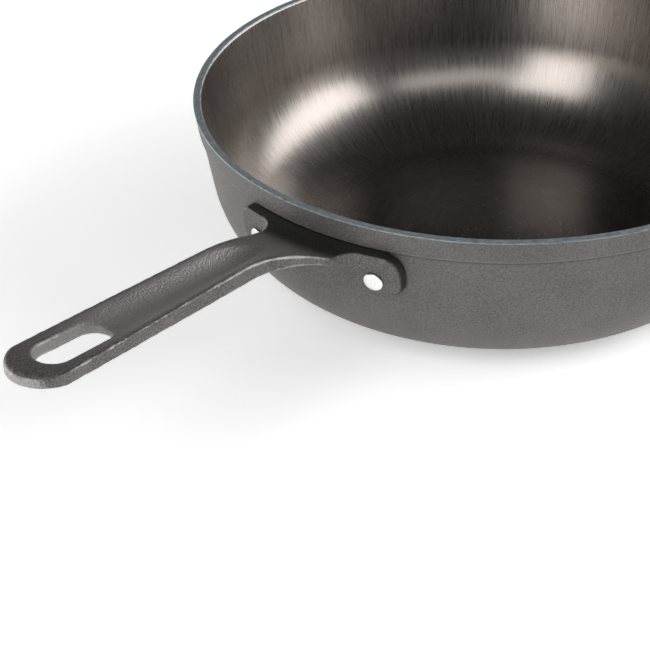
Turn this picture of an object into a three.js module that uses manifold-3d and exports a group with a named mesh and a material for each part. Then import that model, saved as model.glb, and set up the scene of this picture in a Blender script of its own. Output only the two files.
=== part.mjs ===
// A deep cast iron skillet: a cast pan, a cast handle and two solid rivets.
// Millimetres, +Z up. The origin is the centre of the base, and the handle points along +X.

import * as THREE from 'three';
import { mergeVertices } from 'three/addons/utils/BufferGeometryUtils.js';
import Module from 'manifold-3d';

const wasm = await Module();
wasm.setup();

// Pan
const rimDiameter = 300; // across the outside of the rim
const panHeight = 85; // base to rim
const wallLean = THREE.MathUtils.degToRad(10); // from upright
const wallThickness = 3;
const floorThickness = 4;
const cornerRadius = 54; // outside, from the base to the wall
const bandHeight = 11.4; // raised band under the rim, outside
const bandStep = 1; // how far the band stands out from the wall
const rimOuterChamfer = 0.5;
const rimInnerChamfer = 0.5; // across the rim
const rimInnerChamferDrop = 1; // down the inside of the wall

// Handle flange, sized along the wall it sits on
const seatGap = 0.3; // between the two castings
const flangeWidth = 89.4;
const flangeHeight = 23.5;
const flangeThickness = 5.6;
const flangeTopCorner = 10;
const flangeBottomCorner = 9;

// Handle neck, from the flange up to the straight grip
const neckLength = 57.4; // flange face to the grip
const neckRise = 15.4; // flange top to the top of the grip
const neckBend = 20; // grip to the middle of the bend, seen from the side
const neckTaper = 38; // grip to where the neck flares, seen from above
const neckWidth = 25.4; // at the grip
const neckRootWidth = 40.6; // at the flange
const neckRootThickness = 4.2; // at the foot of the slope
const neckFillet = 10; // seen from above, into the ears
const shelfLength = 7.5; // level part between the flange face and the slope

// Handle grip
const gripLength = 123; // neck to tip
const gripSlope = THREE.MathUtils.degToRad(4.66); // rising to the tip
const gripThickness = 7.8; // at the neck
const tipThickness = 5.7;
const tipWidth = 30.8;
const channelDepth = 3.8; // scooped out of the top, at the neck
const channelSlotDepth = 2.6; // where it meets the hang slot
const channelLip = 2; // beside the channel
const slotWidth = 16.6;
const slotLength = 39.2;
const slotEndLip = 13; // hang slot to tip

// Rivets
const rivetInset = 11.8; // end of an ear to its rivet
const rivetDrop = 14.2; // flange top edge to rivet, along the wall
const shankDiameter = 4.8;
const shankGap = 0.3; // round the shank
const headGap = 0.3; // under each head
const headDiameter = 9.2;
const headHeight = 1.4;
const innerHeadDiameter = 11;
const innerHeadHeight = 1.5;
const headEdge = 0.6; // straight edge of a head
const headFlat = 0.6; // share of a head's radius before it rounds over

// Fineness of the facets
const roundSides = 80; // round the pan
const rivetSides = 24;
const curveSteps = 5; // of each arc and curve
const mergeTolerance = 1e-4;

// Derived places
const rimRadius = rimDiameter / 2;
const leanTan = Math.tan(wallLean);
const leanCos = Math.cos(wallLean);
const leanSin = Math.sin(wallLean);
const bandBottom = panHeight - bandHeight;
const flangeTop = bandBottom - seatGap;

// Radius of the wall's outside at a height, moved outward along the wall's normal.
function wallRadius(height, offset = 0) {
  return rimRadius - bandStep - (panHeight - height) * leanTan + offset / leanCos;
}

const shelfHeight = flangeTop - flangeThickness * leanSin;
const flangeFace = wallRadius(shelfHeight, seatGap + flangeThickness);
const slopeStart = flangeFace + shelfLength;
const gripStart = flangeFace + neckLength;
const tipEnd = gripStart + gripLength;
const tipCentre = tipEnd - tipWidth / 2;
const slotStart = tipEnd - slotEndLip - slotLength;
const slotRadius = slotWidth / 2;
const slotTipCentre = tipEnd - slotEndLip - slotRadius;
const gripRise = Math.tan(gripSlope);

function gripTop(reach) {
  return flangeTop + neckRise + (reach - gripStart) * gripRise;
}

function gripHalfWidth(reach) {
  return THREE.MathUtils.mapLinear(reach, gripStart, tipCentre, neckWidth, tipWidth) / 2;
}

// A closed three.js geometry as a solid that can be joined and cut.
function toSolid(geometry) {
  geometry.deleteAttribute('normal');
  geometry.deleteAttribute('uv');
  const merged = mergeVertices(geometry, mergeTolerance);
  const corners = merged.index.array;
  const kept = [];
  for (let i = 0; i < corners.length; i += 3) {
    const [a, b, c] = corners.slice(i, i + 3);
    if (a !== b && b !== c && c !== a) {
      kept.push(a, b, c);
    }
  }
  const vertProperties = merged.attributes.position.array;
  const triVerts = new Uint32Array(kept);
  return new wasm.Manifold(new wasm.Mesh({ numProp: 3, vertProperties, triVerts }));
}

function toGeometry(solid) {
  const mesh = solid.getMesh();
  const shared = new THREE.BufferGeometry();
  shared.setAttribute('position', new THREE.BufferAttribute(mesh.vertProperties, 3));
  shared.setIndex(new THREE.BufferAttribute(mesh.triVerts, 1));
  const faceted = shared.toNonIndexed();
  faceted.computeVertexNormals();
  return faceted;
}

// A profile of radius and height, turned round the Z axis.
function turned(profile) {
  const geometry = new THREE.LatheGeometry(profile.getPoints(curveSteps), roundSides);
  return toSolid(geometry.rotateX(Math.PI / 2));
}

// A shape drawn in the ground plane, from one height to another.
function raised(shape, low, high) {
  const geometry = new THREE.ExtrudeGeometry(shape, {
    depth: high - low,
    bevelEnabled: false,
    curveSegments: curveSteps,
  });
  return geometry.translate(0, 0, low);
}

// A half outline, with its mirror image across the X axis.
function mirrored(half) {
  const points = half.getPoints(curveSteps * 2);
  const others = points.map((p) => new THREE.Vector2(p.x, -p.y)).reverse();
  return new THREE.Shape([...points, ...others]);
}

// Frame on the wall at an azimuth and height: X along the wall, Y up the wall, Z out of it.
function wallFrame(azimuth, height) {
  const frame = new THREE.Matrix4().makeBasis(
    new THREE.Vector3(0, 1, 0),
    new THREE.Vector3(leanSin, 0, leanCos),
    new THREE.Vector3(leanCos, 0, -leanSin),
  );
  frame.setPosition(wallRadius(height), 0, height);
  return frame.premultiply(new THREE.Matrix4().makeRotationZ(azimuth));
}

const rivetHeight = flangeTop - rivetDrop * leanCos;
const rivetFaceRadius = wallRadius(rivetHeight) + (seatGap + flangeThickness) * leanCos;
const rivetAngle = Math.asin((flangeWidth / 2 - rivetInset) / rivetFaceRadius);
const rivetFrames = {
  rivet_left: wallFrame(-rivetAngle, rivetHeight),
  rivet_right: wallFrame(rivetAngle, rivetHeight),
};

// The hole for a rivet, through the wall and the flange and well past both.
function rivetHole(frame) {
  const radius = shankDiameter / 2 + shankGap;
  const length = 4 * (wallThickness + seatGap + flangeThickness);
  const hole = new THREE.CylinderGeometry(radius, radius, length, rivetSides);
  return toSolid(hole.rotateX(Math.PI / 2).applyMatrix4(frame));
}

function cutRivetHoles(solid) {
  return Object.values(rivetFrames).reduce((rest, frame) => rest.subtract(rivetHole(frame)), solid);
}

// Centre and radius of the arc that joins a level floor to the leaning wall.
function cornerArc(floorHeight, wallOffset, radius) {
  const height = floorHeight + radius;
  return { reach: wallRadius(height, wallOffset - radius), height, radius };
}

function makePan() {
  const outer = cornerArc(0, 0, cornerRadius);
  const inner = cornerArc(floorThickness, -wallThickness, cornerRadius - wallThickness);
  const rimInside = wallRadius(panHeight, -wallThickness);
  const chamferFoot = panHeight - rimInnerChamferDrop;
  const down = -Math.PI / 2;
  const profile = new THREE.Path();
  profile.moveTo(0, 0);
  profile.lineTo(outer.reach, 0);
  profile.absarc(outer.reach, outer.height, outer.radius, down, -wallLean, false);
  profile.lineTo(wallRadius(bandBottom), bandBottom);
  profile.lineTo(wallRadius(bandBottom) + bandStep, bandBottom);
  profile.lineTo(rimRadius - rimOuterChamfer * leanTan, panHeight - rimOuterChamfer);
  profile.lineTo(rimRadius - rimOuterChamfer, panHeight);
  profile.lineTo(rimInside + rimInnerChamfer, panHeight);
  profile.lineTo(wallRadius(chamferFoot, -wallThickness), chamferFoot);
  profile.absarc(inner.reach, inner.height, inner.radius, -wallLean, down, true);
  profile.lineTo(0, floorThickness);
  return cutRivetHoles(turned(profile));
}

// The curved plate that hugs the wall: a leaning ring, trimmed to the outline of the ears.
function makeFlange() {
  const near = seatGap;
  const far = seatGap + flangeThickness;
  const corner = (offset, along) => {
    const height = flangeTop - along * leanCos - (offset - seatGap) * leanSin;
    return new THREE.Vector2(wallRadius(height, offset), height);
  };
  const foot = corner(far, flangeHeight);
  const section = new THREE.Path([
    corner(near, flangeHeight),
    foot,
    corner(far, 0),
    corner(near, 0),
    corner(near, flangeHeight),
  ]);

  const half = flangeWidth / 2;
  const top = flangeTop - flangeTopCorner;
  const bottom = foot.y + flangeBottomCorner;
  const quarter = Math.PI / 2;
  const outline = new THREE.Shape();
  outline.absarc(flangeBottomCorner - half, bottom, flangeBottomCorner, 2 * quarter, 3 * quarter, false);
  outline.absarc(half - flangeBottomCorner, bottom, flangeBottomCorner, -quarter, 0, false);
  outline.absarc(half - flangeTopCorner, top, flangeTopCorner, 0, quarter, false);
  outline.absarc(flangeTopCorner - half, top, flangeTopCorner, quarter, 2 * quarter, false);
  const ears = raised(outline, 0, rimDiameter).applyMatrix4(
    new THREE.Matrix4().makeBasis(
      new THREE.Vector3(0, 1, 0),
      new THREE.Vector3(0, 0, 1),
      new THREE.Vector3(1, 0, 0),
    ),
  );
  return turned(section).intersect(toSolid(ears));
}

// Outline of the neck and grip from above, with the fillets that run into the ears.
function planOutline(inside) {
  const rootHalf = neckRootWidth / 2;
  const filletEdge = rootHalf + neckFillet;
  const filletReach = Math.sqrt(flangeFace ** 2 - filletEdge ** 2);
  const filletEnd = filletReach + neckFillet;
  const plan = new THREE.Path();
  plan.moveTo(inside, filletEdge);
  plan.lineTo(filletReach, filletEdge);
  plan.absarc(filletEnd, filletEdge, neckFillet, Math.PI, 1.5 * Math.PI, false);
  plan.bezierCurveTo(
    filletEnd + neckFillet / 2, rootHalf,
    gripStart - neckTaper, neckWidth / 2,
    gripStart, neckWidth / 2,
  );
  plan.lineTo(tipCentre, tipWidth / 2);
  plan.absarc(tipCentre, 0, tipWidth / 2, Math.PI / 2, 0, true);
  return mirrored(plan);
}

// Outline of the neck and grip from the side: reach across, height up.
function sideOutline(inside) {
  const bend = gripStart - neckBend;
  const bendShare = (bend - slopeStart) / (gripStart - slopeStart);
  const bendThickness = THREE.MathUtils.lerp(neckRootThickness, gripThickness, bendShare);
  const slope = (gripTop(bend) - shelfHeight) / (bend - slopeStart);
  const slopeFoot = shelfHeight - neckRootThickness;
  const rootFoot = slopeFoot - shelfLength * slope;
  const side = new THREE.Shape();
  side.moveTo(inside, shelfHeight);
  side.lineTo(slopeStart, shelfHeight);
  side.quadraticCurveTo(bend, gripTop(bend), gripStart, gripTop(gripStart));
  side.lineTo(tipEnd, gripTop(tipEnd));
  side.lineTo(tipEnd, gripTop(tipEnd) - tipThickness);
  side.lineTo(gripStart, gripTop(gripStart) - gripThickness);
  side.quadraticCurveTo(bend, gripTop(bend) - bendThickness, slopeStart, slopeFoot);
  side.lineTo(flangeFace, rootFoot);
  side.lineTo(inside, rootFoot);
  return side;
}

// Neck and grip: the outline from above, trimmed to the outline from the side.
function makeBar() {
  const inside = wallRadius(flangeTop) - flangeWidth / 4;
  const fromAbove = raised(planOutline(inside), 0, panHeight + tipEnd);
  const fromSide = raised(sideOutline(inside), -neckRootWidth, neckRootWidth).rotateX(Math.PI / 2);
  return toSolid(fromAbove).intersect(toSolid(fromSide));
}

// The scoop along the grip. It runs out where the neck bends down, and at the far end of the hang slot.
function makeChannel() {
  const neckHalf = gripHalfWidth(gripStart) - channelLip;
  const stations = [
    { reach: slopeStart, half: neckHalf, depth: channelDepth },
    { reach: gripStart, half: neckHalf, depth: channelDepth },
    { reach: slotStart, half: gripHalfWidth(slotStart) - channelLip, depth: channelSlotDepth },
    { reach: slotTipCentre, half: gripHalfWidth(slotTipCentre) - channelLip, depth: 0 },
  ];
  // A section one unit to each side and one deep, open upwards, with a copy at each station.
  const section = new THREE.Shape();
  section.moveTo(-1, 1);
  section.lineTo(-1, 0);
  section.quadraticCurveTo(0, -2, 1, 0);
  section.lineTo(1, 1);
  const geometry = new THREE.ExtrudeGeometry(section, {
    depth: stations.length - 1,
    steps: stations.length - 1,
    bevelEnabled: false,
    curveSegments: curveSteps * 2,
  });
  const places = geometry.attributes.position;
  for (let i = 0; i < places.count; i += 1) {
    const { reach, half, depth } = stations[Math.round(places.getZ(i))];
    const lift = places.getY(i) * (places.getY(i) > 0 ? channelDepth : depth);
    places.setXYZ(i, reach, places.getX(i) * half, gripTop(reach) + lift);
  }
  return toSolid(geometry);
}

function makeSlot() {
  const outline = new THREE.Shape();
  outline.absarc(slotTipCentre, 0, slotRadius, -Math.PI / 2, Math.PI / 2, false);
  outline.absarc(slotStart + slotRadius, 0, slotRadius, Math.PI / 2, 1.5 * Math.PI, false);
  return toSolid(raised(outline, 0, panHeight + tipEnd));
}

// The room that the wall needs, so that the handle's seat follows it.
function makeSeat() {
  const seat = new THREE.Path();
  seat.moveTo(0, 0);
  seat.lineTo(wallRadius(0, seatGap), 0);
  seat.lineTo(wallRadius(panHeight, seatGap), panHeight);
  seat.lineTo(0, panHeight);
  return turned(seat);
}

function makeHandle() {
  const casting = makeBar().subtract(makeChannel()).add(makeFlange());
  return cutRivetHoles(casting.subtract(makeSeat()).subtract(makeSlot()));
}

// One rivet along +Z, with the outside of the wall at zero.
function makeRivet() {
  const shank = shankDiameter / 2;
  const head = headDiameter / 2;
  const innerHead = innerHeadDiameter / 2;
  const seat = seatGap + flangeThickness + headGap;
  const innerSeat = -wallThickness - headGap;
  const top = seat + headHeight;
  const innerTop = innerSeat - innerHeadHeight;
  const profile = new THREE.Path();
  profile.moveTo(0, innerTop);
  profile.quadraticCurveTo(innerHead * headFlat, innerTop, innerHead, innerSeat - headEdge);
  profile.lineTo(innerHead, innerSeat);
  profile.lineTo(shank, innerSeat);
  profile.lineTo(shank, seat);
  profile.lineTo(head, seat);
  profile.lineTo(head, seat + headEdge);
  profile.quadraticCurveTo(head * headFlat, top, 0, top);
  const geometry = new THREE.LatheGeometry(profile.getPoints(curveSteps), rivetSides);
  return toSolid(geometry.rotateX(Math.PI / 2));
}

const castIron = { color: 0x565552, roughness: 0.75, metalness: 0.35 };
const rivetMetal = { color: 0xd9dbdc, roughness: 0.3, metalness: 1 };

function addMesh(parent, name, solid, finish) {
  const mesh = new THREE.Mesh(toGeometry(solid), new THREE.MeshStandardMaterial(finish));
  mesh.name = name;
  parent.add(mesh);
  return mesh;
}

const skillet = new THREE.Group();
addMesh(skillet, 'pan', makePan(), castIron);
addMesh(skillet, 'handle', makeHandle(), castIron);
for (const [name, frame] of Object.entries(rivetFrames)) {
  const rivet = addMesh(skillet, name, makeRivet(), rivetMetal);
  rivet.applyMatrix4(frame);
}

export default skillet;
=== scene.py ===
import math

import bmesh
import bpy
from mathutils import Matrix, Quaternion, Vector
from mathutils.geometry import interpolate_bezier


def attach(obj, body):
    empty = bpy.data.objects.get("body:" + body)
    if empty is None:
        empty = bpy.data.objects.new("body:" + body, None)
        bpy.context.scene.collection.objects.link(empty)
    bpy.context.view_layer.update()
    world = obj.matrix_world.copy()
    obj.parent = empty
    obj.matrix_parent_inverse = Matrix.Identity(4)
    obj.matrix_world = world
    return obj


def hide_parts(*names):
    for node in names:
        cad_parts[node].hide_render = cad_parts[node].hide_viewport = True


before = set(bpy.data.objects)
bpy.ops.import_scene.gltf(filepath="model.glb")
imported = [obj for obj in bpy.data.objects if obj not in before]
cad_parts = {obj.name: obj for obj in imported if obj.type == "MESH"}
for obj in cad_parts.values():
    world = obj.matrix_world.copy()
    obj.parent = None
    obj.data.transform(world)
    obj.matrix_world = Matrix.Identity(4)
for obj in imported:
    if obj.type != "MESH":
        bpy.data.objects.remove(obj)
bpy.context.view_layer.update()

mm = 0.001
weld = 1e-6  # points closer than this become one
upAxis = Vector((0, 0, 1))


# Drawing: a pen that leaves edges behind it

def pointsOf(geometry):
    return [g for g in geometry if isinstance(g, bmesh.types.BMVert)]


def lineTo(bm, tip, place):
    made = bmesh.ops.extrude_vert_indiv(bm, verts=[tip])["verts"][0]
    bmesh.ops.translate(bm, verts=[made], vec=place - made.co)
    return made


def spinTo(bm, tip, centre, axis, angle, steps):
    swept = bmesh.ops.spin(bm, geom=[tip], cent=centre, axis=axis, angle=angle, steps=steps,
                           use_duplicate=False)
    return pointsOf(swept["geom_last"])[0]


def arcTo(bm, tip, corner, onward, radius, steps):
    # straight towards the corner, then round it with a spun arc
    back = (tip.co - corner).normalized()
    ahead = (onward - corner).normalized()
    half = back.angle(ahead) / 2
    tip = lineTo(bm, tip, corner + back * radius / math.tan(half))
    centre = corner + (back + ahead).normalized() * radius / math.sin(half)
    axis = -back.cross(ahead).normalized()
    return spinTo(bm, tip, centre, axis, math.pi - 2 * half, steps)


def curveTo(bm, tip, handleA, handleB, place, steps):
    for point in interpolate_bezier(tip.co, handleA, handleB, place, steps)[1:]:
        tip = lineTo(bm, tip, point)
    return tip


def closePath(bm, first, tip):
    bm.edges.new((tip, first))
    return bmesh.ops.contextual_create(bm, geom=bm.edges[:])["faces"][0]


def thicken(bm, face, move):
    grown = bmesh.ops.extrude_face_region(bm, geom=[face])["geom"]
    bmesh.ops.translate(bm, verts=pointsOf(grown), vec=move)
    bmesh.ops.recalc_face_normals(bm, faces=bm.faces[:])


def revolve(bm, steps):
    bmesh.ops.spin(bm, geom=bm.verts[:] + bm.edges[:], cent=(0, 0, 0), axis=upAxis,
                   angle=2 * math.pi, steps=steps, use_merge=True, use_duplicate=False)
    bmesh.ops.remove_doubles(bm, verts=bm.verts[:], dist=weld)
    bmesh.ops.recalc_face_normals(bm, faces=bm.faces[:])


def sweepFace(bm, face, spread, steps):
    # a section turned about the upright axis, as far to one side as to the other
    bmesh.ops.rotate(bm, verts=bm.verts[:], cent=(0, 0, 0), matrix=Matrix.Rotation(-spread, 3, "Z"))
    bmesh.ops.spin(bm, geom=bm.verts[:] + bm.edges[:] + [face], cent=(0, 0, 0), axis=upAxis,
                   angle=2 * spread, steps=steps, use_duplicate=False)
    bmesh.ops.recalc_face_normals(bm, faces=bm.faces[:])


def toPiece(bm, name):
    mesh = bpy.data.meshes.new(name)
    bm.to_mesh(mesh)
    bm.free()
    piece = bpy.data.objects.new(name, mesh)
    bpy.context.scene.collection.objects.link(piece)
    return piece


def applyModifiers(piece):
    graph = bpy.context.evaluated_depsgraph_get()
    made = bpy.data.meshes.new_from_object(piece.evaluated_get(graph))
    old = piece.data
    piece.modifiers.clear()
    piece.data = made
    bpy.data.meshes.remove(old)


def combine(piece, other, operation):
    knife = piece.modifiers.new("combine", "BOOLEAN")
    knife.operation = operation
    knife.solver = "EXACT"
    knife.object = other
    applyModifiers(piece)
    bpy.data.objects.remove(other)


def openEdges(piece):
    bm = bmesh.new()
    bm.from_mesh(piece.data)
    count = sum(not e.is_manifold for e in bm.edges)
    bm.free()
    return count


# Nodes

def feed(tree, node, inputs):
    # a socket is linked, a plain value is set
    for name, value in inputs.items():
        if isinstance(value, bpy.types.NodeSocket):
            tree.links.new(value, node.inputs[name])
        else:
            node.inputs[name].default_value = value


def addNode(tree, kind, inputs=None, **settings):
    node = tree.nodes.new("ShaderNode" + kind)
    for name, value in settings.items():
        setattr(node, name, value)
    feed(tree, node, inputs or {})
    return node


def calc(tree, operation, a, b):
    return addNode(tree, "Math", {0: a, 1: b}, operation=operation).outputs[0]


def addShares(tree, a, shareA, b, shareB):
    return calc(tree, "ADD", calc(tree, "MULTIPLY", a, shareA), calc(tree, "MULTIPLY", b, shareB))


def remap(tree, value, low, high, toLow=0.0, toHigh=1.0):
    node = addNode(tree, "MapRange", {"Value": value, "From Min": low, "From Max": high,
                                      "To Min": toLow, "To Max": toHigh})
    return node.outputs["Result"]


def blendColours(tree, factor, a, b):
    return addNode(tree, "Mix", {0: factor, 6: a, 7: b}, data_type="RGBA").outputs[2]


def blendValues(tree, factor, a, b):
    return addNode(tree, "Mix", {0: factor, 2: a, 3: b}, data_type="FLOAT").outputs[0]


def startGroup(name, inputs, outputs):
    group = bpy.data.node_groups.new(name, "ShaderNodeTree")
    for title, kind, value in inputs:
        socket = group.interface.new_socket(title, in_out="INPUT", socket_type="NodeSocket" + kind)
        if value is not None:
            socket.default_value = value
    for title in outputs:
        group.interface.new_socket(title, in_out="OUTPUT", socket_type="NodeSocketFloat")
    return group, group.nodes.new("NodeGroupInput").outputs, group.nodes.new("NodeGroupOutput")


grainLook = {  # scales are shares of the grain that a finish asks for
    "lumpDetail": 2.0, "lumpRoughness": 0.55, "lumpTone": 0.75,
    "pitScale": 0.62, "pitReach": 0.8, "pitDepth": 0.45,
    "patchScale": 0.03, "patchDetail": 3.0, "patchTone": 0.25,
}


def makeCastGrain():
    # the skin that moulding sand leaves on iron: small round lumps, pits and broad mottling
    g = grainLook
    group, given, put = startGroup("castGrain", [("Vector", "Vector", None), ("Grain", "Float", 900.0)],
                                   ["Height", "Tone", "Patch"])
    place, grain = given["Vector"], given["Grain"]
    lumps = addNode(group, "TexNoise", {"Vector": place, "Scale": grain, "Detail": g["lumpDetail"],
                                        "Roughness": g["lumpRoughness"]}).outputs["Fac"]
    pits = addNode(group, "TexVoronoi", {"Vector": place,
                                         "Scale": calc(group, "MULTIPLY", grain, g["pitScale"])})
    broad = addNode(group, "TexNoise", {"Vector": place, "Detail": g["patchDetail"],
                                        "Scale": calc(group, "MULTIPLY", grain, g["patchScale"])})
    patch = broad.outputs["Fac"]
    pitDepth = remap(group, pits.outputs["Distance"], 0.0, g["pitReach"], 0.0, g["pitDepth"])
    feed(group, put, {"Height": calc(group, "ADD", lumps, pitDepth),
                      "Tone": addShares(group, lumps, g["lumpTone"], patch, g["patchTone"]),
                      "Patch": patch})
    return group


strokeLook = {
    "fineScale": 1.0, "fineDetail": 2.0, "fineRoughness": 0.6, "fineTone": 0.82,
    "coarseScale": 0.28, "coarseDetail": 1.0, "coarseTone": 0.18,
}


def makeBrushLines():
    # fine strokes: narrow across, long along
    s = strokeLook
    group, given, put = startGroup("brushLines", [("Across", "Float", 0.0), ("Along", "Float", 0.0),
                                                  ("Fineness", "Float", 1500.0), ("Length", "Float", 160.0)],
                                   ["Height", "Tone"])
    across = calc(group, "MULTIPLY", given["Across"], given["Fineness"])
    along = calc(group, "MULTIPLY", given["Along"], given["Length"])
    grid = addNode(group, "CombineXYZ", {"X": across, "Y": along}).outputs[0]
    fine = addNode(group, "TexNoise", {"Vector": grid, "Scale": s["fineScale"], "Detail": s["fineDetail"],
                                       "Roughness": s["fineRoughness"]}).outputs["Fac"]
    coarse = addNode(group, "TexNoise", {"Vector": grid, "Scale": s["coarseScale"],
                                         "Detail": s["coarseDetail"]}).outputs["Fac"]
    feed(group, put, {"Height": fine, "Tone": addShares(group, fine, s["fineTone"], coarse, s["coarseTone"])})
    return group


castGrain = makeCastGrain()
brushLines = makeBrushLines()
toneRange = (0.3, 0.7)  # what a pattern's tone mostly spans


def useGroup(tree, group, inputs):
    return addNode(tree, "Group", inputs, node_tree=group).outputs


def startMaterial(name):
    material = bpy.data.materials.new(name)
    material.use_nodes = True
    tree = material.node_tree
    return material, tree, tree.nodes["Principled BSDF"], addNode(tree, "TexCoord").outputs["Object"]


def toned(tree, pattern, f):
    # from a finish's dark colour to its light one
    return blendColours(tree, remap(tree, pattern["Tone"], *f["contrast"]), f["dark"], f["light"])


def roughened(tree, tone, f):
    return remap(tree, tone, *toneRange, *f["roughness"])


def bumped(tree, height, f):
    bump = addNode(tree, "Bump", {"Height": height, "Strength": f["bump"], "Distance": f["depth"]})
    return bump.outputs["Normal"]


def polar(tree, place):
    # how far round, how far out and how high a point is, about the pan's axis
    axes = addNode(tree, "SeparateXYZ", {0: place}).outputs
    turn = calc(tree, "ARCTAN2", axes["Y"], axes["X"])
    flat = addNode(tree, "CombineXYZ", {"X": axes["X"], "Y": axes["Y"]})
    reach = addNode(tree, "VectorMath", {0: flat.outputs[0]}, operation="LENGTH").outputs["Value"]
    return turn, reach, axes["Z"]


outsideFinish = {
    "dark": (0.108, 0.104, 0.098, 1), "light": (0.213, 0.205, 0.196, 1), "contrast": (0.38, 0.62),
    "grain": 1250.0, "bump": 1.0, "depth": 0.28 * mm,
    "roughness": (0.46, 0.6), "metallic": 0.25,
    # a nearly black painted shade line under the band, and a light painted highlight on the band's edge
    "bandShadow": (0.045, 0.043, 0.041, 1), "bandShadowWidth": 0.9 * mm, "bandShadowShare": 0.55,
    "wearAndHighlight": (0.3, 0.292, 0.28, 1), "bandHighlightWidth": 0.5 * mm, "bandHighlightShare": 0.35,
}


def makeOutsideFinish(bandFoot):
    f = outsideFinish
    bandShadow, wearAndHighlight = f["bandShadowWidth"], f["bandHighlightWidth"]
    material, tree, shader, place = startMaterial("sandCastIron")
    grain = useGroup(tree, castGrain, {"Vector": place, "Grain": f["grain"]})
    iron = toned(tree, grain, f)
    # painted shade where the wall meets the band, and a painted highlight on the band's edge
    height = addNode(tree, "SeparateXYZ", {0: place}).outputs["Z"]
    below = remap(tree, height, bandFoot - 2 * bandShadow, bandFoot - bandShadow, 0.0, f["bandShadowShare"])
    above = remap(tree, height, bandFoot + wearAndHighlight, bandFoot + 2 * wearAndHighlight, f["bandHighlightShare"], 0.0)
    onBand = calc(tree, "GREATER_THAN", height, bandFoot)
    iron = blendColours(tree, below, iron, blendColours(tree, onBand, f["bandShadow"], iron))
    iron = blendColours(tree, calc(tree, "MULTIPLY", onBand, above), iron, f["wearAndHighlight"])
    feed(tree, shader, {"Base Color": iron, "Roughness": roughened(tree, grain["Tone"], f),
                        "Metallic": f["metallic"], "Normal": bumped(tree, grain["Height"], f)})
    return material


insideFinish = {
    "dark": (0.272, 0.246, 0.229, 1), "light": (0.428, 0.39, 0.363, 1),
    "floorDark": (0.096, 0.088, 0.082, 1), "floorLight": (0.184, 0.168, 0.157, 1),
    "strokes": 240.0, "strokeLength": 45.0, "rings": 700.0, "ringLength": 4.0,
    "floorEdge": (55 * mm, 112 * mm), "floorShade": (65 * mm, 105 * mm),
    "roughness": (0.25, 0.31), "floorSmooth": 0.03, "metallic": 1.0, "bump": 0.06, "depth": 0.05 * mm,
    "anisotropy": 0.4, "strokeTurn": 0.25,
}


def makeInsideFinish():
    # brushed up and down the wall, turned in rings on the floor
    f = insideFinish
    material, tree, shader, place = startMaterial("brushedIron")
    turn, reach, height = polar(tree, place)
    down = calc(tree, "ADD", reach, height)
    strokes = useGroup(tree, brushLines, {"Across": turn, "Along": down,
                                          "Fineness": f["strokes"], "Length": f["strokeLength"]})
    rings = useGroup(tree, brushLines, {"Across": reach, "Along": turn,
                                        "Fineness": f["rings"], "Length": f["ringLength"]})
    onWall = remap(tree, down, *f["floorEdge"])
    tone = blendValues(tree, onWall, rings["Tone"], strokes["Tone"])
    line = blendValues(tree, onWall, rings["Height"], strokes["Height"])
    share = remap(tree, tone, *toneRange)
    ground = blendColours(tree, share, f["floorDark"], f["floorLight"])
    wall = blendColours(tree, share, f["dark"], f["light"])
    # the floor takes a darker copy of the brushed colour: painted shade that dims its reflections
    iron = blendColours(tree, remap(tree, down, *f["floorShade"]), ground, wall)
    smoother = remap(tree, onWall, 0.0, 1.0, f["floorSmooth"], 0.0)
    rough = calc(tree, "SUBTRACT", roughened(tree, tone, f), smoother)
    around = addNode(tree, "Tangent", direction_type="RADIAL", axis="Z").outputs[0]
    feed(tree, shader, {"Base Color": iron, "Roughness": rough, "Metallic": f["metallic"],
                        "Anisotropic": f["anisotropy"], "Anisotropic Rotation": f["strokeTurn"],
                        "Tangent": around, "Normal": bumped(tree, line, f)})
    return material


rimFinish = {
    "dark": (0.15, 0.192, 0.21, 1), "light": (0.42, 0.47, 0.49, 1), "contrast": (0.36, 0.64),
    "rings": 2200.0, "ringLength": 45.0,
    "roughness": (0.32, 0.5), "metallic": 0.35, "bump": 0.25, "depth": 0.04 * mm,
}


def makeRimFinish():
    f = rimFinish
    material, tree, shader, place = startMaterial("machinedRim")
    turn, reach, height = polar(tree, place)
    rings = useGroup(tree, brushLines, {"Across": calc(tree, "SUBTRACT", reach, height), "Along": turn,
                                        "Fineness": f["rings"], "Length": f["ringLength"]})
    feed(tree, shader, {"Base Color": toned(tree, rings, f), "Roughness": roughened(tree, rings["Tone"], f),
                        "Metallic": f["metallic"], "Normal": bumped(tree, rings["Height"], f)})
    return material


markNames = ("wearAndTipHighlight", "paintedShade", "polishAndSheen")  # point attributes of the handle, filled in by markWearAndPaintedLight: rubbed edges with a painted highlight on the tip, painted shade, and polish with a painted sheen

handleFinish = {
    "dark": (0.082, 0.08, 0.077, 1), "light": (0.206, 0.2, 0.193, 1), "contrast": (0.39, 0.61),
    # colours for rubbed edges and the tip's painted highlight, for polish with a painted sheen, and a nearly
    # black painted shade
    "wearAndHighlight": (0.42, 0.412, 0.4, 1), "polishAndSheen": (0.43, 0.42, 0.405, 1), "paintedShade": (0.035, 0.034, 0.033, 1),
    "grain": 1250.0, "bump": 1.0, "depth": 0.32 * mm,
    "roughness": (0.42, 0.56), "wornRoughness": 0.36, "metallic": 0.5,
    "wearAndTipHighlight": (0.7, 1.25), "grainBreaks": (-0.25, 0.25), "patches": (0.35, 0.65), "patchBreaks": (-0.45, 0.25),
}


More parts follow.
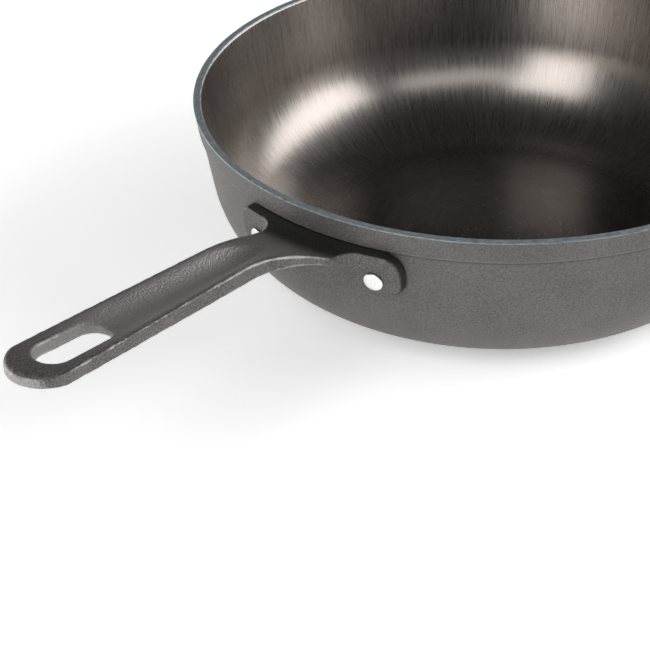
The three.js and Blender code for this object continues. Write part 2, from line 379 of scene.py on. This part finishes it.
def makeHandleFinish():
    f = handleFinish
    material, tree, shader, place = startMaterial("handleIron")
    grain = useGroup(tree, castGrain, {"Vector": place, "Grain": f["grain"]})
    marks = {name: addNode(tree, "Attribute", attribute_name=name).outputs["Fac"] for name in markNames}
    # the channel and slot get real polish and a lighter colour, which is a painted sheen
    iron = blendColours(tree, marks["polishAndSheen"], toned(tree, grain, f), f["polishAndSheen"])
    # the grain and its patches break up the rubbed edges and the painted highlight on the tip
    broken = calc(tree, "ADD", marks["wearAndTipHighlight"], remap(tree, grain["Tone"], *toneRange, *f["grainBreaks"]))
    broken = calc(tree, "ADD", broken, remap(tree, grain["Patch"], *f["patches"], *f["patchBreaks"]))
    wearAndHighlight = remap(tree, broken, *f["wearAndTipHighlight"])
    # painted shade, nearly black, on the shelf and along the ears next to the wall
    iron = blendColours(tree, marks["paintedShade"], blendColours(tree, wearAndHighlight, iron, f["wearAndHighlight"]), f["paintedShade"])
    smooth = calc(tree, "MAXIMUM", wearAndHighlight, marks["polishAndSheen"])
    rough = blendValues(tree, smooth, roughened(tree, grain["Tone"], f), f["wornRoughness"])
    feed(tree, shader, {"Base Color": iron, "Roughness": rough,
                        "Metallic": f["metallic"], "Normal": bumped(tree, grain["Height"], f)})
    return material


rivetFinish = {
    "dark": (0.88, 0.88, 0.88, 1), "light": (0.98, 0.98, 0.975, 1), "contrast": (0.35, 0.65),
    "grain": 700.0, "roughness": (0.24, 0.4), "metallic": 1.0, "bump": 0.12, "depth": 0.1 * mm,
}


def makeRivetFinish():
    f = rivetFinish
    material, tree, shader, place = startMaterial("rivetSteel")
    grain = useGroup(tree, castGrain, {"Vector": place, "Grain": f["grain"]})
    feed(tree, shader, {"Base Color": toned(tree, grain, f), "Roughness": roughened(tree, grain["Tone"], f),
                        "Metallic": f["metallic"], "Normal": bumped(tree, grain["Height"], f)})
    return material


brushedIron = makeInsideFinish()
machinedRim = makeRimFinish()
handleIron = makeHandleFinish()
rivetSteel = makeRivetFinish()
print("finishes ready")


# Pan, in millimetres until it is drawn

pan = {
    "rim": 150.0, "height": 85.0, "lean": math.radians(10), "wall": 3.0, "floor": 4.0, "corner": 54.0,
    "band": 11.4, "step": 1.0, "bandNook": 0.5, "bandEdge": 0.45, "outerEdge": 0.5,
    "innerBevel": 0.5, "innerDrop": 1.0, "bevelTop": 0.25, "bevelFoot": 2.0,
    "around": 288, "rings": (20, 45, 70), "sharp": math.radians(40),
    "rimDepth": 0.55, "rimMargin": 0.3, "bandMargin": 2.0, "upward": 0.5,  # which faces get which finish
}


def wallReach(height, offset=0.0):
    # outside of the wall at a height, moved out square to the wall
    lean = pan["lean"]
    return pan["rim"] - pan["step"] - (pan["height"] - height) * math.tan(lean) + offset / math.cos(lean)


def profilePoint(reach, height):
    return Vector((reach * mm, 0, height * mm))


def makePan():
    p = pan
    bandFoot = p["height"] - p["band"]
    rimIn = wallReach(p["height"], -p["wall"])
    bevelFoot = p["height"] - p["innerDrop"]
    corners = [  # reach, height, rounding, steps
        (wallReach(0), 0, p["corner"], 40),
        (wallReach(bandFoot), bandFoot, p["bandNook"], 4),
        (wallReach(bandFoot) + p["step"], bandFoot, p["bandEdge"], 5),
        (p["rim"], p["height"], p["outerEdge"], 5),
        (rimIn + p["innerBevel"], p["height"], p["bevelTop"], 3),
        (wallReach(bevelFoot, -p["wall"]), bevelFoot, p["bevelFoot"], 5),
        (wallReach(p["floor"], -p["wall"]), p["floor"], p["corner"] - p["wall"], 40),
    ]
    bm = bmesh.new()
    tip = bm.verts.new((0, 0, 0))
    for ring in p["rings"]:
        tip = lineTo(bm, tip, profilePoint(ring, 0))
    ends = corners[1:] + [(0, p["floor"])]
    for (reach, height, rounding, steps), onward in zip(corners, ends):
        tip = arcTo(bm, tip, profilePoint(reach, height), profilePoint(*onward[:2]), rounding * mm, steps)
    for ring in (*reversed(p["rings"]), 0):
        tip = lineTo(bm, tip, profilePoint(ring, p["floor"]))
    revolve(bm, p["around"])
    finishes = {"outside": makeOutsideFinish(bandFoot * mm), "inside": brushedIron, "rim": machinedRim}
    order = list(finishes)
    for face in bm.faces:
        face.smooth = True
        middle = face.calc_center_median()
        reach, height = middle.xy.length / mm, middle.z / mm
        facesIn = face.normal.xy.dot(middle.xy) < 0 or face.normal.z > p["upward"]
        if height > p["height"] - p["rimDepth"] and reach > rimIn + p["innerBevel"] - p["rimMargin"]:
            face.material_index = order.index("rim")
        elif facesIn and abs(height - bandFoot) > p["bandMargin"]:
            face.material_index = order.index("inside")
    piece = toPiece(bm, "pan_body")
    for finish in finishes.values():
        piece.data.materials.append(finish)
    return piece


# Handle and rivets, in millimetres until they are drawn

handle = {
    "gap": 0.3, "flangeWidth": 89.4, "flangeHeight": 23.5, "flangeThickness": 5.6,
    "topCorner": 10.0, "bottomCorner": 9.0, "flangeSpread": math.radians(24),
    "neckLength": 57.4, "neckRise": 15.4, "neckBend": 20.0, "bendPull": 2 / 3, "neckTaper": 38.0,
    "neckWidth": 25.4, "rootWidth": 40.6, "rootThickness": 4.2, "fillet": 10.0, "shelf": 7.5,
    "gripLength": 123.0, "gripRise": math.tan(math.radians(4.66)), "gripThickness": 7.8,
    "tipThickness": 5.7, "tipWidth": 30.8, "tipRound": 3.6,
    "channelDepth": 3.8, "channelSlotDepth": 2.6, "channelEndDepth": 0.02,
    "lip": 2.0, "lipPull": 0.7, "bedPull": 0.5,
    "slotWidth": 16.6, "slotLength": 39.2, "slotEnd": 13.0, "slotDraft": math.tan(math.radians(8)),
    "fineSkin": 0.3, "skin": 0.55, "softening": 20, "rounding": 120, "lastSoftening": 4,
}
blank = {  # where the rough shapes and the cutters start and end, clear of the finished shape
    "low": 40.0, "height": 80.0, "half": 50.0, "past": 2.0, "earFrom": 110.0, "earDepth": 70.0,
    "channelHead": 4.0, "slotFoot": 20.0, "seatLow": 20.0, "seatHigh": 84.0, "drill": 40.0,
    "arcShare": 0.999,  # an arc a little smaller than its corner keeps a short straight before it
}
curveSteps = {
    "fillet": 16, "neck": 24, "tip": 24, "bend": 24, "flange": 64, "topCorner": 16, "bottomCorner": 12,
    "channel": 12, "slot": 32, "tipRing": 64, "tipRound": 12, "rivetHead": 14, "rivetEdge": 4,
}
flangeTop = pan["height"] - pan["band"] - handle["gap"]
flangeOut = handle["gap"] + handle["flangeThickness"]
shelfHeight = flangeTop - handle["flangeThickness"] * math.sin(pan["lean"])
flangeFace = wallReach(shelfHeight, flangeOut)
blankIn = wallReach(flangeTop) - handle["flangeWidth"] / 4
slopeStart = flangeFace + handle["shelf"]
gripStart = flangeFace + handle["neckLength"]
tipEnd = gripStart + handle["gripLength"]
tipCentre = tipEnd - handle["tipWidth"] / 2
slotFar = tipEnd - handle["slotEnd"]
slotStart = slotFar - handle["slotLength"]
slotTipCentre = slotFar - handle["slotWidth"] / 2

rivet = {
    "inset": 11.8, "drop": 14.2, "shank": 2.4, "clear": 0.3, "head": 4.6, "headHeight": 1.4,
    "innerHead": 5.5, "innerHeight": 1.5, "edge": 0.6, "edgeRound": 0.25, "around": 64,
    "headCurve": ((0.9, 0.85), (0.45, 1.0)), "innerCurve": ((0.4, 1.0), (0.85, 0.8)),
}
rivet["height"] = flangeTop - rivet["drop"] * math.cos(pan["lean"])
rivet["reach"] = wallReach(rivet["height"]) + flangeOut * math.cos(pan["lean"])
rivet["angle"] = math.asin((handle["flangeWidth"] / 2 - rivet["inset"]) / rivet["reach"])


def rivetFrame(side):
    # on the wall: X along it, Y up it, Z out of it
    lean = pan["lean"]
    turned = Matrix.Rotation(side * rivet["angle"], 4, "Z")
    up = Vector((math.sin(lean), 0, math.cos(lean)))
    out = Vector((math.cos(lean), 0, -math.sin(lean)))
    basis = Matrix((Vector((0, 1, 0)), up, out)).transposed().to_4x4()
    basis.translation = profilePoint(wallReach(rivet["height"]), rivet["height"])
    return turned @ basis


def drillRivets(piece):
    radius = (rivet["shank"] + rivet["clear"]) * mm
    for side in (-1, 1):
        bm = bmesh.new()
        bmesh.ops.create_cone(bm, cap_ends=True, segments=rivet["around"], radius1=radius, radius2=radius,
                              depth=blank["drill"] * mm, matrix=rivetFrame(side))
        combine(piece, toPiece(bm, "drill"), "DIFFERENCE")


def gripTop(reach):
    return flangeTop + handle["neckRise"] + (reach - gripStart) * handle["gripRise"]


def gripHalf(reach):
    share = (reach - gripStart) / (tipCentre - gripStart)
    return (handle["neckWidth"] + share * (handle["tipWidth"] - handle["neckWidth"])) / 2


def planPoint(reach, across):
    return Vector((reach * mm, across * mm, blank["low"] * mm))


def makePlan():
    # the handle's outline seen from above, as a thick plate
    h = handle
    root = h["rootWidth"] / 2
    wide = root + h["fillet"]
    out = math.sqrt(flangeFace ** 2 - wide ** 2)
    half = h["neckWidth"] / 2
    bm = bmesh.new()
    first = bm.verts.new(planPoint(blankIn, wide))
    tip = lineTo(bm, first, planPoint(out, wide))
    tip = arcTo(bm, tip, planPoint(out, root), planPoint(gripStart, root),
                h["fillet"] * mm * blank["arcShare"], curveSteps["fillet"])
    start = tip.co.x / mm
    tip = curveTo(bm, tip, planPoint(start + h["fillet"] / 2, root),
                  planPoint(gripStart - h["neckTaper"], half), planPoint(gripStart, half), curveSteps["neck"])
    tip = lineTo(bm, tip, planPoint(tipCentre, h["tipWidth"] / 2))
    spinTo(bm, tip, planPoint(tipCentre, 0), -upAxis, math.pi / 2, curveSteps["tip"])
    # the other side is a mirror image
    bmesh.ops.mirror(bm, geom=bm.verts[:] + bm.edges[:], axis="Y", merge_dist=weld)
    ends = [v for v in bm.verts if len(v.link_edges) == 1]
    thicken(bm, closePath(bm, *ends), Vector((0, 0, blank["height"] * mm)))
    return toPiece(bm, "plan")


def sidePoint(reach, height):
    return Vector((reach * mm, -blank["half"] * mm, height * mm))


def makeSide():
    # the handle's outline seen from the side, as a thick plate
    h = handle
    bend = gripStart - h["neckBend"]
    share = (bend - slopeStart) / (gripStart - slopeStart)
    bendThickness = h["rootThickness"] + share * (h["gripThickness"] - h["rootThickness"])
    slope = (gripTop(bend) - shelfHeight) / (bend - slopeStart)
    slopeFoot = shelfHeight - h["rootThickness"]
    rootFoot = slopeFoot - h["shelf"] * slope
    pastEnd = tipEnd + blank["past"]

    def bendTo(bm, tip, middle, place):
        pulls = [end.lerp(middle, h["bendPull"]) for end in (tip.co, place)]
        return curveTo(bm, tip, *pulls, place, curveSteps["bend"])

    bm = bmesh.new()
    first = bm.verts.new(sidePoint(blankIn, shelfHeight))
    tip = lineTo(bm, first, sidePoint(slopeStart, shelfHeight))
    tip = bendTo(bm, tip, sidePoint(bend, gripTop(bend)), sidePoint(gripStart, gripTop(gripStart)))
    tip = lineTo(bm, tip, sidePoint(pastEnd, gripTop(pastEnd)))
    tip = lineTo(bm, tip, sidePoint(pastEnd, gripTop(pastEnd) - h["tipThickness"]))
    tip = lineTo(bm, tip, sidePoint(gripStart, gripTop(gripStart) - h["gripThickness"]))
    tip = bendTo(bm, tip, sidePoint(bend, gripTop(bend) - bendThickness), sidePoint(slopeStart, slopeFoot))
    tip = lineTo(bm, tip, sidePoint(flangeFace, rootFoot))
    tip = lineTo(bm, tip, sidePoint(blankIn, rootFoot))
    thicken(bm, closePath(bm, first, tip), Vector((0, 2 * blank["half"] * mm, 0)))
    return toPiece(bm, "side")


def makeFlange():
    # a length of ring that follows the wall, cut to the outline of the ears
    h = handle
    lean = pan["lean"]

    def corner(offset, along):
        height = flangeTop - along * math.cos(lean) - (offset - h["gap"]) * math.sin(lean)
        return profilePoint(wallReach(height, offset), height)

    foot = corner(flangeOut, h["flangeHeight"])
    bm = bmesh.new()
    first = bm.verts.new(corner(h["gap"], h["flangeHeight"]))
    tip = lineTo(bm, first, foot)
    tip = lineTo(bm, tip, corner(flangeOut, 0))
    tip = lineTo(bm, tip, corner(h["gap"], 0))
    sweepFace(bm, closePath(bm, first, tip), h["flangeSpread"], curveSteps["flange"])
    ring = toPiece(bm, "flange")

    half = h["flangeWidth"] / 2
    low, high = foot.z / mm, flangeTop

    def earPoint(across, height):
        return Vector((blank["earFrom"] * mm, across * mm, height * mm))

    bm = bmesh.new()
    first = bm.verts.new(earPoint(0, low))
    tip = first
    places = ((half, low), (half, high), (-half, high), (-half, low))
    names = ("bottomCorner", "topCorner", "topCorner", "bottomCorner")
    for place, onward, name in zip(places, places[1:] + places[:1], names):
        tip = arcTo(bm, tip, earPoint(*place), earPoint(*onward), h[name] * mm, curveSteps[name])
    thicken(bm, closePath(bm, first, tip), Vector((blank["earDepth"] * mm, 0, 0)))
    combine(ring, toPiece(bm, "ears"), "INTERSECT")
    return ring


def drawScoop(bm, reach, half, depth):
    # one closed section of the channel, with a straight head above the grip
    lip, bed, head = handle["lipPull"], handle["bedPull"], blank["channelHead"]
    steps = curveSteps["channel"]
    top = gripTop(reach)

    def at(across, height):
        return Vector((reach * mm, across * half * mm, (top + height) * mm))

    before = set(bm.edges)
    first = bm.verts.new(at(-1, head))
    tip = lineTo(bm, first, at(-1, 0))
    tip = curveTo(bm, tip, at(-lip, 0), at(-bed, -depth), at(0, -depth), steps)
    tip = curveTo(bm, tip, at(bed, -depth), at(lip, 0), at(1, 0), steps)
    tip = lineTo(bm, tip, at(1, head))
    bm.edges.new((tip, first))
    return [e for e in bm.edges if e not in before]


def makeChannel():
    h = handle
    neckHalf = gripHalf(gripStart) - h["lip"]
    stations = [  # reach, half width, depth
        (slopeStart, neckHalf, h["channelDepth"]),
        (gripStart, neckHalf, h["channelDepth"]),
        (slotStart, gripHalf(slotStart) - h["lip"], h["channelSlotDepth"]),
        (slotTipCentre, gripHalf(slotTipCentre) - h["lip"], h["channelEndDepth"]),
    ]
    bm = bmesh.new()
    loops = [drawScoop(bm, *station) for station in stations]
    for a, b in zip(loops, loops[1:]):
        bmesh.ops.bridge_loops(bm, edges=a + b)
    bmesh.ops.holes_fill(bm, edges=[e for e in bm.edges if e.is_boundary])
    bmesh.ops.recalc_face_normals(bm, faces=bm.faces[:])
    return toPiece(bm, "channel")


def makeSlot():
    radius = handle["slotWidth"] / 2
    near, far = slotStart + radius, slotTipCentre
    bm = bmesh.new()
    tip = bm.verts.new(planPoint(near, -radius))
    tip = lineTo(bm, tip, planPoint(far, -radius))
    tip = spinTo(bm, tip, planPoint(far, 0), upAxis, math.pi, curveSteps["slot"])
    tip = lineTo(bm, tip, planPoint(near, radius))
    spinTo(bm, tip, planPoint(near, 0), upAxis, math.pi, curveSteps["slot"])
    bmesh.ops.remove_doubles(bm, verts=bm.verts[:], dist=weld)
    face = bmesh.ops.contextual_create(bm, geom=bm.edges[:])["faces"][0]
    thicken(bm, face, Vector((0, 0, blank["height"] * mm)))
    # narrower underneath, so that the casting leaves its mould
    middle = (near + far) / 2
    half = handle["slotLength"] / 2
    foot = gripTop(middle) - blank["slotFoot"]
    halfway = (blank["low"] + blank["height"] / 2) * mm
    for top in (False, True):
        end = [v for v in bm.verts if (v.co.z > halfway) == top]
        height = end[0].co.z / mm if top else foot
        grow = (height - gripTop(middle)) * handle["slotDraft"]
        bmesh.ops.translate(bm, verts=end, vec=(0, 0, height * mm - end[0].co.z))
        bmesh.ops.scale(bm, verts=end, vec=(1 + grow / half, 1 + grow / radius, 1),
                        space=Matrix.Translation((-middle * mm, 0, 0)))
    return toPiece(bm, "slot")


def makeTipRing():
    # takes the top edge off the tip, most at its end and nothing at its sides
    edge = handle["tipRound"]
    reach = handle["tipWidth"] / 2 + edge
    bm = bmesh.new()
    first = bm.verts.new(profilePoint(reach + edge, edge))
    tip = lineTo(bm, first, profilePoint(reach - 2 * edge, edge))
    tip = lineTo(bm, tip, profilePoint(reach - 2 * edge, 0))
    tip = arcTo(bm, tip, profilePoint(reach, 0), profilePoint(reach, -edge),
                edge * mm * blank["arcShare"], curveSteps["tipRound"])
    tip = lineTo(bm, tip, profilePoint(reach, -3 * edge))
    tip = lineTo(bm, tip, profilePoint(reach + edge, -3 * edge))
    sweepFace(bm, closePath(bm, first, tip), math.pi / 2, curveSteps["tipRing"])
    centre = tipCentre - edge
    slope = Matrix.Rotation(-math.atan(handle["gripRise"]), 4, "Y")
    place = Matrix.Translation(profilePoint(centre, gripTop(centre)))
    bmesh.ops.transform(bm, matrix=place @ slope, verts=bm.verts[:])
    return toPiece(bm, "tipRing")


def makeSeat():
    # the room that the wall takes
    low, high = blank["seatLow"], blank["seatHigh"]
    bm = bmesh.new()
    bmesh.ops.create_cone(bm, cap_ends=True, segments=pan["around"],
                          radius1=wallReach(low, handle["gap"]) * mm,
                          radius2=wallReach(high, handle["gap"]) * mm, depth=(high - low) * mm,
                          matrix=Matrix.Translation((0, 0, (low + high) / 2 * mm)))
    return toPiece(bm, "seat")


def ramp(value, start, end):
    return min(max((value - start) / (end - start), 0.0), 1.0)


def rampNear(value, landmark, offsets):
    return ramp(value, landmark + offsets[0], landmark + offsets[1])


# ramps for the rubbed edges, a painted highlight on the tip, painted shade on the shelf and by the wall, and
# polish with a painted sheen in the channel and slot
wearAndPaintedLightPlaces = {  # strengths, and ramps as offsets from a landmark or as tilts of the surface
    "own": 0.4, "passes": 3, "full": 0.035 * mm, "most": 1.35,
    "edges": 0.85, "neck": 0.2, "neckFrom": (0, 20), "neckTo": (25, 0),
    "ears": 0.6, "earsTo": 14, "tip": 0.6, "tipFrom": (-8, 0),
    "tipHighlight": 1.25, "tipHighlightFrom": (-12, -2.5), "tipHighlightTilt": (0.95, 0.6),
    "shelfTilt": (0.5, 0.8), "shelfTo": (3, -2), "crevice": (-0.4, -1.9),
    "channel": 0.6, "channelFrom": (-30, 0), "channelTo": -5,
    "channelTilt": (0.6, 0.8), "channelSide": (-1, -3),
    "slot": 0.35, "slotFrom": (-2, 0), "slotTo": (2, 0), "slotSide": (1.5, 0.5), "slotTilt": (0.7, 0.4),
}


def standOut(bm):
    # how far each point stands out from its neighbours, evened out a little
    w = wearAndPaintedLightPlaces
    bend = {}
    for v in bm.verts:
        around = [e.other_vert(v).co for e in v.link_edges]
        bend[v.index] = (v.co - sum(around, Vector()) / len(around)).dot(v.normal)
    for _ in range(w["passes"]):
        evened = {}
        for v in bm.verts:
            around = sum(bend[e.other_vert(v).index] for e in v.link_edges) / len(v.link_edges)
            evened[v.index] = w["own"] * bend[v.index] + (1 - w["own"]) * around
        bend = evened
    return bend


def markWearAndPaintedLight(piece):
    w = wearAndPaintedLightPlaces
    for name in markNames:
        piece.data.attributes.new(name, "FLOAT", "POINT")
    marks = {name: piece.data.attributes[name].data for name in markNames}
    slotSide = handle["slotWidth"] / 2
    bm = bmesh.new()
    bm.from_mesh(piece.data)
    bend = standOut(bm)
    for v in bm.verts:
        x, y = v.co.x / mm, abs(v.co.y / mm)
        reach, height = v.co.xy.length / mm, v.co.z / mm
        tilt = v.normal.z
        # the neck's edges are rubbed most and the ears least; the tip's end face gets a painted highlight
        onNeck = rampNear(x, slopeStart, w["neckFrom"]) * rampNear(x, gripStart, w["neckTo"])
        rubbed = w["edges"] + w["neck"] * onNeck
        rubbed *= ramp(reach, flangeFace, slopeStart + w["earsTo"]) * (1 - w["ears"]) + w["ears"]
        rubbed *= 1 - w["tip"] * rampNear(x, slotFar, w["tipFrom"])
        tipHighlight = w["tipHighlight"] * rampNear(x, tipEnd, w["tipHighlightFrom"]) * ramp(tilt, *w["tipHighlightTilt"])
        edge = min(max(bend[v.index] / w["full"] * rubbed, 0.0), w["most"])
        marks["wearAndTipHighlight"][v.index].value = max(edge, tipHighlight)
        # painted shade on the shelf between the wall and the slope, and along the ears next to the wall
        shelf = ramp(tilt, *w["shelfTilt"]) * rampNear(reach, slopeStart, w["shelfTo"])
        off = (reach - wallReach(height)) * math.cos(pan["lean"])
        marks["paintedShade"][v.index].value = max(shelf, rampNear(off, flangeOut, w["crevice"]))
        # the channel is smoothed by the hand, and the slot by what it hangs on; both are also painted
        # lighter, a painted sheen
        inChannel = w["channel"] * rampNear(x, gripStart, w["channelFrom"])
        inChannel *= ramp(x, slotTipCentre, slotStart + w["channelTo"])
        inChannel *= ramp(tilt, *w["channelTilt"]) * rampNear(y, gripHalf(x), w["channelSide"])
        inSlot = w["slot"] * rampNear(x, slotStart, w["slotFrom"]) * rampNear(x, slotFar, w["slotTo"])
        inSlot *= rampNear(y, slotSide, w["slotSide"]) * ramp(abs(tilt), *w["slotTilt"])
        marks["polishAndSheen"][v.index].value = max(inChannel, inSlot)
    bm.free()
    print("handle: wear marked on", len(piece.data.vertices), "points")


def reskin(piece, voxel):
    skin = piece.modifiers.new("skin", "REMESH")
    skin.mode = "VOXEL"
    skin.voxel_size = voxel * mm


def soften(piece, steps, group=""):
    soft = piece.modifiers.new("soft", "SMOOTH")
    soft.factor = 0.5
    soft.iterations = steps
    soft.vertex_group = group


softPlaces = {  # strengths, and ramps as offsets from a landmark
    "root": 0.5, "rootSide": (4, -2), "rootFrom": (-3, 0), "rootTo": (-27, -36),
    "slot": 0.4, "slotSide": (3.5, 2), "slotFrom": (-4, -2),
    "tip": 0.4, "tipFrom": (1, 6),
}


def roundPlaces(piece):
    # edges that are well rounded: the root of the neck, round the slot, and the tip
    s = softPlaces
    group = piece.vertex_groups.new(name="round")
    rootSide = handle["rootWidth"] / 2 + handle["fillet"]
    slotSide = handle["slotWidth"] / 2
    for v in piece.data.vertices:
        x, y = v.co.x / mm, abs(v.co.y / mm)
        root = rampNear(y, rootSide, s["rootSide"])
        root *= rampNear(x, flangeFace, s["rootFrom"]) * rampNear(x, gripStart, s["rootTo"])
        slot = rampNear(y, slotSide, s["slotSide"]) * rampNear(x, slotStart, s["slotFrom"])
        tip = rampNear(x, slotFar, s["tipFrom"])
        group.add([v.index], max(s["root"] * root, s["slot"] * slot, s["tip"] * tip), "REPLACE")
    return group.name


def makeHandle():
    piece = makePlan()
    piece.name = "handle_casting"
    combine(piece, makeSide(), "INTERSECT")
    combine(piece, makeChannel(), "DIFFERENCE")
    combine(piece, makeFlange(), "UNION")
    for cutter in (makeSeat, makeSlot, makeTipRing):
        combine(piece, cutter(), "DIFFERENCE")
    drillRivets(piece)
    print("handle before softening: open edges", openEdges(piece))
    reskin(piece, handle["fineSkin"])
    soften(piece, handle["softening"])
    applyModifiers(piece)
    soften(piece, handle["rounding"], roundPlaces(piece))
    reskin(piece, handle["skin"])
    soften(piece, handle["lastSoftening"])
    applyModifiers(piece)
    for face in piece.data.polygons:
        face.use_smooth = True
    piece.data.materials.clear()
    piece.data.materials.append(handleIron)
    markWearAndPaintedLight(piece)
    return piece


def makeRivet(name, side):
    r = rivet
    steps, edgeSteps, edgeRound = curveSteps["rivetHead"], curveSteps["rivetEdge"], r["edgeRound"] * mm
    seat = flangeOut + r["clear"]
    inner = -pan["wall"] - r["clear"]
    headPulls = [profilePoint(r["head"] * a, seat + r["headHeight"] * b) for a, b in r["headCurve"]]
    innerPulls = [profilePoint(r["innerHead"] * a, inner - r["innerHeight"] * b) for a, b in r["innerCurve"]]
    shoulder = profilePoint(r["head"], seat + r["edge"])
    shankFoot = profilePoint(r["shank"], inner)
    bm = bmesh.new()
    tip = bm.verts.new(profilePoint(0, inner - r["innerHeight"]))
    tip = curveTo(bm, tip, *innerPulls, profilePoint(r["innerHead"], inner - r["edge"]), steps)
    tip = arcTo(bm, tip, profilePoint(r["innerHead"], inner), shankFoot, edgeRound, edgeSteps)
    tip = lineTo(bm, tip, shankFoot)
    tip = lineTo(bm, tip, profilePoint(r["shank"], seat))
    tip = arcTo(bm, tip, profilePoint(r["head"], seat), shoulder, edgeRound, edgeSteps)
    tip = lineTo(bm, tip, shoulder)
    curveTo(bm, tip, *headPulls, profilePoint(0, seat + r["headHeight"]), steps)
    revolve(bm, r["around"])
    bmesh.ops.transform(bm, matrix=rivetFrame(side), verts=bm.verts[:])
    for face in bm.faces:
        face.smooth = True
    piece = toPiece(bm, name)
    piece.data.materials.append(rivetSteel)
    return piece


panBody = makePan()
drillRivets(panBody)
panBody.data.set_sharp_from_angle(angle=pan["sharp"])  # keeps the wall's shading flat round the bores
print("pan: open edges", openEdges(panBody), "faces", len(panBody.data.polygons))
handleCasting = makeHandle()
print("handle: open edges", openEdges(handleCasting), "faces", len(handleCasting.data.polygons))
leftRivet = makeRivet("rivet_far", -1)
rightRivet = makeRivet("rivet_near", 1)
print("rivets: open edges", openEdges(leftRivet), openEdges(rightRivet))

pieces = (  # piece, the CAD node it stands for, its slot
    (panBody, "pan", "pan_iron"),
    (handleCasting, "handle", "handle_iron"),
    (leftRivet, "rivet_left", "rivet_metal"),
    (rightRivet, "rivet_right", "rivet_metal"),
)
for piece, node, slot in pieces:
    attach(piece, "root")
    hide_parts(node)


# Floor, light and camera

floorLook = {
    "size": 4.0, "drop": 0.3 * mm, "colour": (0.86, 0.86, 0.865, 1), "shown": (1.98, 1.98, 1.99, 1),
    "glow": (0.97, 0.97, 0.975, 1), "glowShare": 0.35, "fade": (0.8, 1.6),
}


def emptyTree(owner):
    owner.use_nodes = True
    owner.node_tree.nodes.clear()
    return owner.node_tree


def makeFloor():
    f = floorLook
    bm = bmesh.new()
    bmesh.ops.create_grid(bm, x_segments=1, y_segments=1, size=f["size"])
    bmesh.ops.translate(bm, verts=bm.verts[:], vec=(0, 0, -f["drop"]))
    floor = toPiece(bm, "floor")
    material = bpy.data.materials.new("floorPaper")
    tree = emptyTree(material)
    rays = addNode(tree, "LightPath").outputs
    seen = calc(tree, "MAXIMUM", rays["Is Camera Ray"], rays["Is Glossy Ray"])
    paper = addNode(tree, "BsdfDiffuse", {"Color": blendColours(tree, seen, f["colour"], f["shown"])})
    glow = addNode(tree, "Emission", {"Color": f["glow"], "Strength": 1.0})
    # far from the object the paper runs into the backdrop
    place = addNode(tree, "TexCoord").outputs["Object"]
    away = addNode(tree, "VectorMath", {0: place}, operation="LENGTH").outputs["Value"]
    share = remap(tree, away, *f["fade"], f["glowShare"], 1.0)
    mixed = addNode(tree, "MixShader", {0: calc(tree, "MULTIPLY", seen, share),
                                        1: paper.outputs[0], 2: glow.outputs[0]})
    addNode(tree, "OutputMaterial", {"Surface": mixed.outputs[0]})
    floor.data.materials.append(material)


lampDistance = 2.5
lamps = [  # name, azimuth, elevation, roll, width, height, watts
    ("boxRight", 141, 23.5, -20, 3.7, 1.4, 56.0),
    ("boxLeft", 4, 32, 0, 1.2, 2.4, 26.0),
    ("bankFront", 56, 43, 0, 2.0, 0.7, 6.3),
    ("stripBehind", 288, 8, 0, 2.5, 0.75, 29.0),
    ("bankFar", 188, 30, 0, 0.9, 0.55, 1.6),
    ("bankHigh", 146, 46, 0, 2.0, 0.8, 0.7),
]


def makeLamp(name, azimuth, elevation, roll, width, height, watts):
    light = bpy.data.lights.new(name, "AREA")
    light.shape = "RECTANGLE"
    light.size = width
    light.size_y = height
    light.energy = watts
    lamp = bpy.data.objects.new(name, light)
    az, el = math.radians(azimuth), math.radians(elevation)
    ray = Vector((math.cos(az) * math.cos(el), math.sin(az) * math.cos(el), math.sin(el)))
    lamp.location = ray * lampDistance
    turn = ray.to_track_quat("Z", "Y") @ Quaternion((0, 0, 1), math.radians(roll))
    lamp.rotation_euler = turn.to_euler()
    lamp.visible_camera = False
    bpy.context.scene.collection.objects.link(lamp)


sky = {"low": 0.12, "high": 0.03, "from": 0.3, "to": 0.65}


def makeSky():
    # bright near the horizon, dark overhead, as in a studio with a pale sweep
    world = bpy.data.worlds.new("studio")
    tree = emptyTree(world)
    ray = addNode(tree, "TexCoord").outputs["Generated"]
    height = addNode(tree, "SeparateXYZ", {0: ray}).outputs["Z"]
    strength = remap(tree, height, sky["from"], sky["to"], sky["low"], sky["high"])
    light = addNode(tree, "Background", {"Color": (1, 1, 1, 1), "Strength": strength})
    seen = addNode(tree, "Background", {"Color": floorLook["glow"], "Strength": 1.0})
    rays = addNode(tree, "LightPath").outputs
    mixed = addNode(tree, "MixShader", {0: rays["Is Camera Ray"], 1: light.outputs[0], 2: seen.outputs[0]})
    addNode(tree, "OutputWorld", {"Surface": mixed.outputs[0]})
    bpy.context.scene.world = world


view = {
    "place": (0.7550, 0.4819, 0.5301), "forward": (-0.6585, -0.5163, -0.5477), "roll": math.radians(-0.95),
    "lens": 110.77, "sensor": 36.0, "nearClip": 0.01,
}


def makeCamera():
    lens = bpy.data.cameras.new("photoCamera")
    lens.lens = view["lens"]
    lens.sensor_width = view["sensor"]
    lens.clip_start = view["nearClip"]
    camera = bpy.data.objects.new("photoCamera", lens)
    camera.location = view["place"]
    level = Vector(view["forward"]).to_track_quat("-Z", "Y")
    camera.rotation_euler = (level @ Quaternion((0, 0, 1), view["roll"])).to_euler()
    bpy.context.scene.collection.objects.link(camera)
    bpy.context.scene.camera = camera


makeFloor()
for lamp in lamps:
    makeLamp(*lamp)
makeSky()
makeCamera()
bpy.context.scene.view_settings.view_transform = "Standard"
print("floor, light and camera ready")
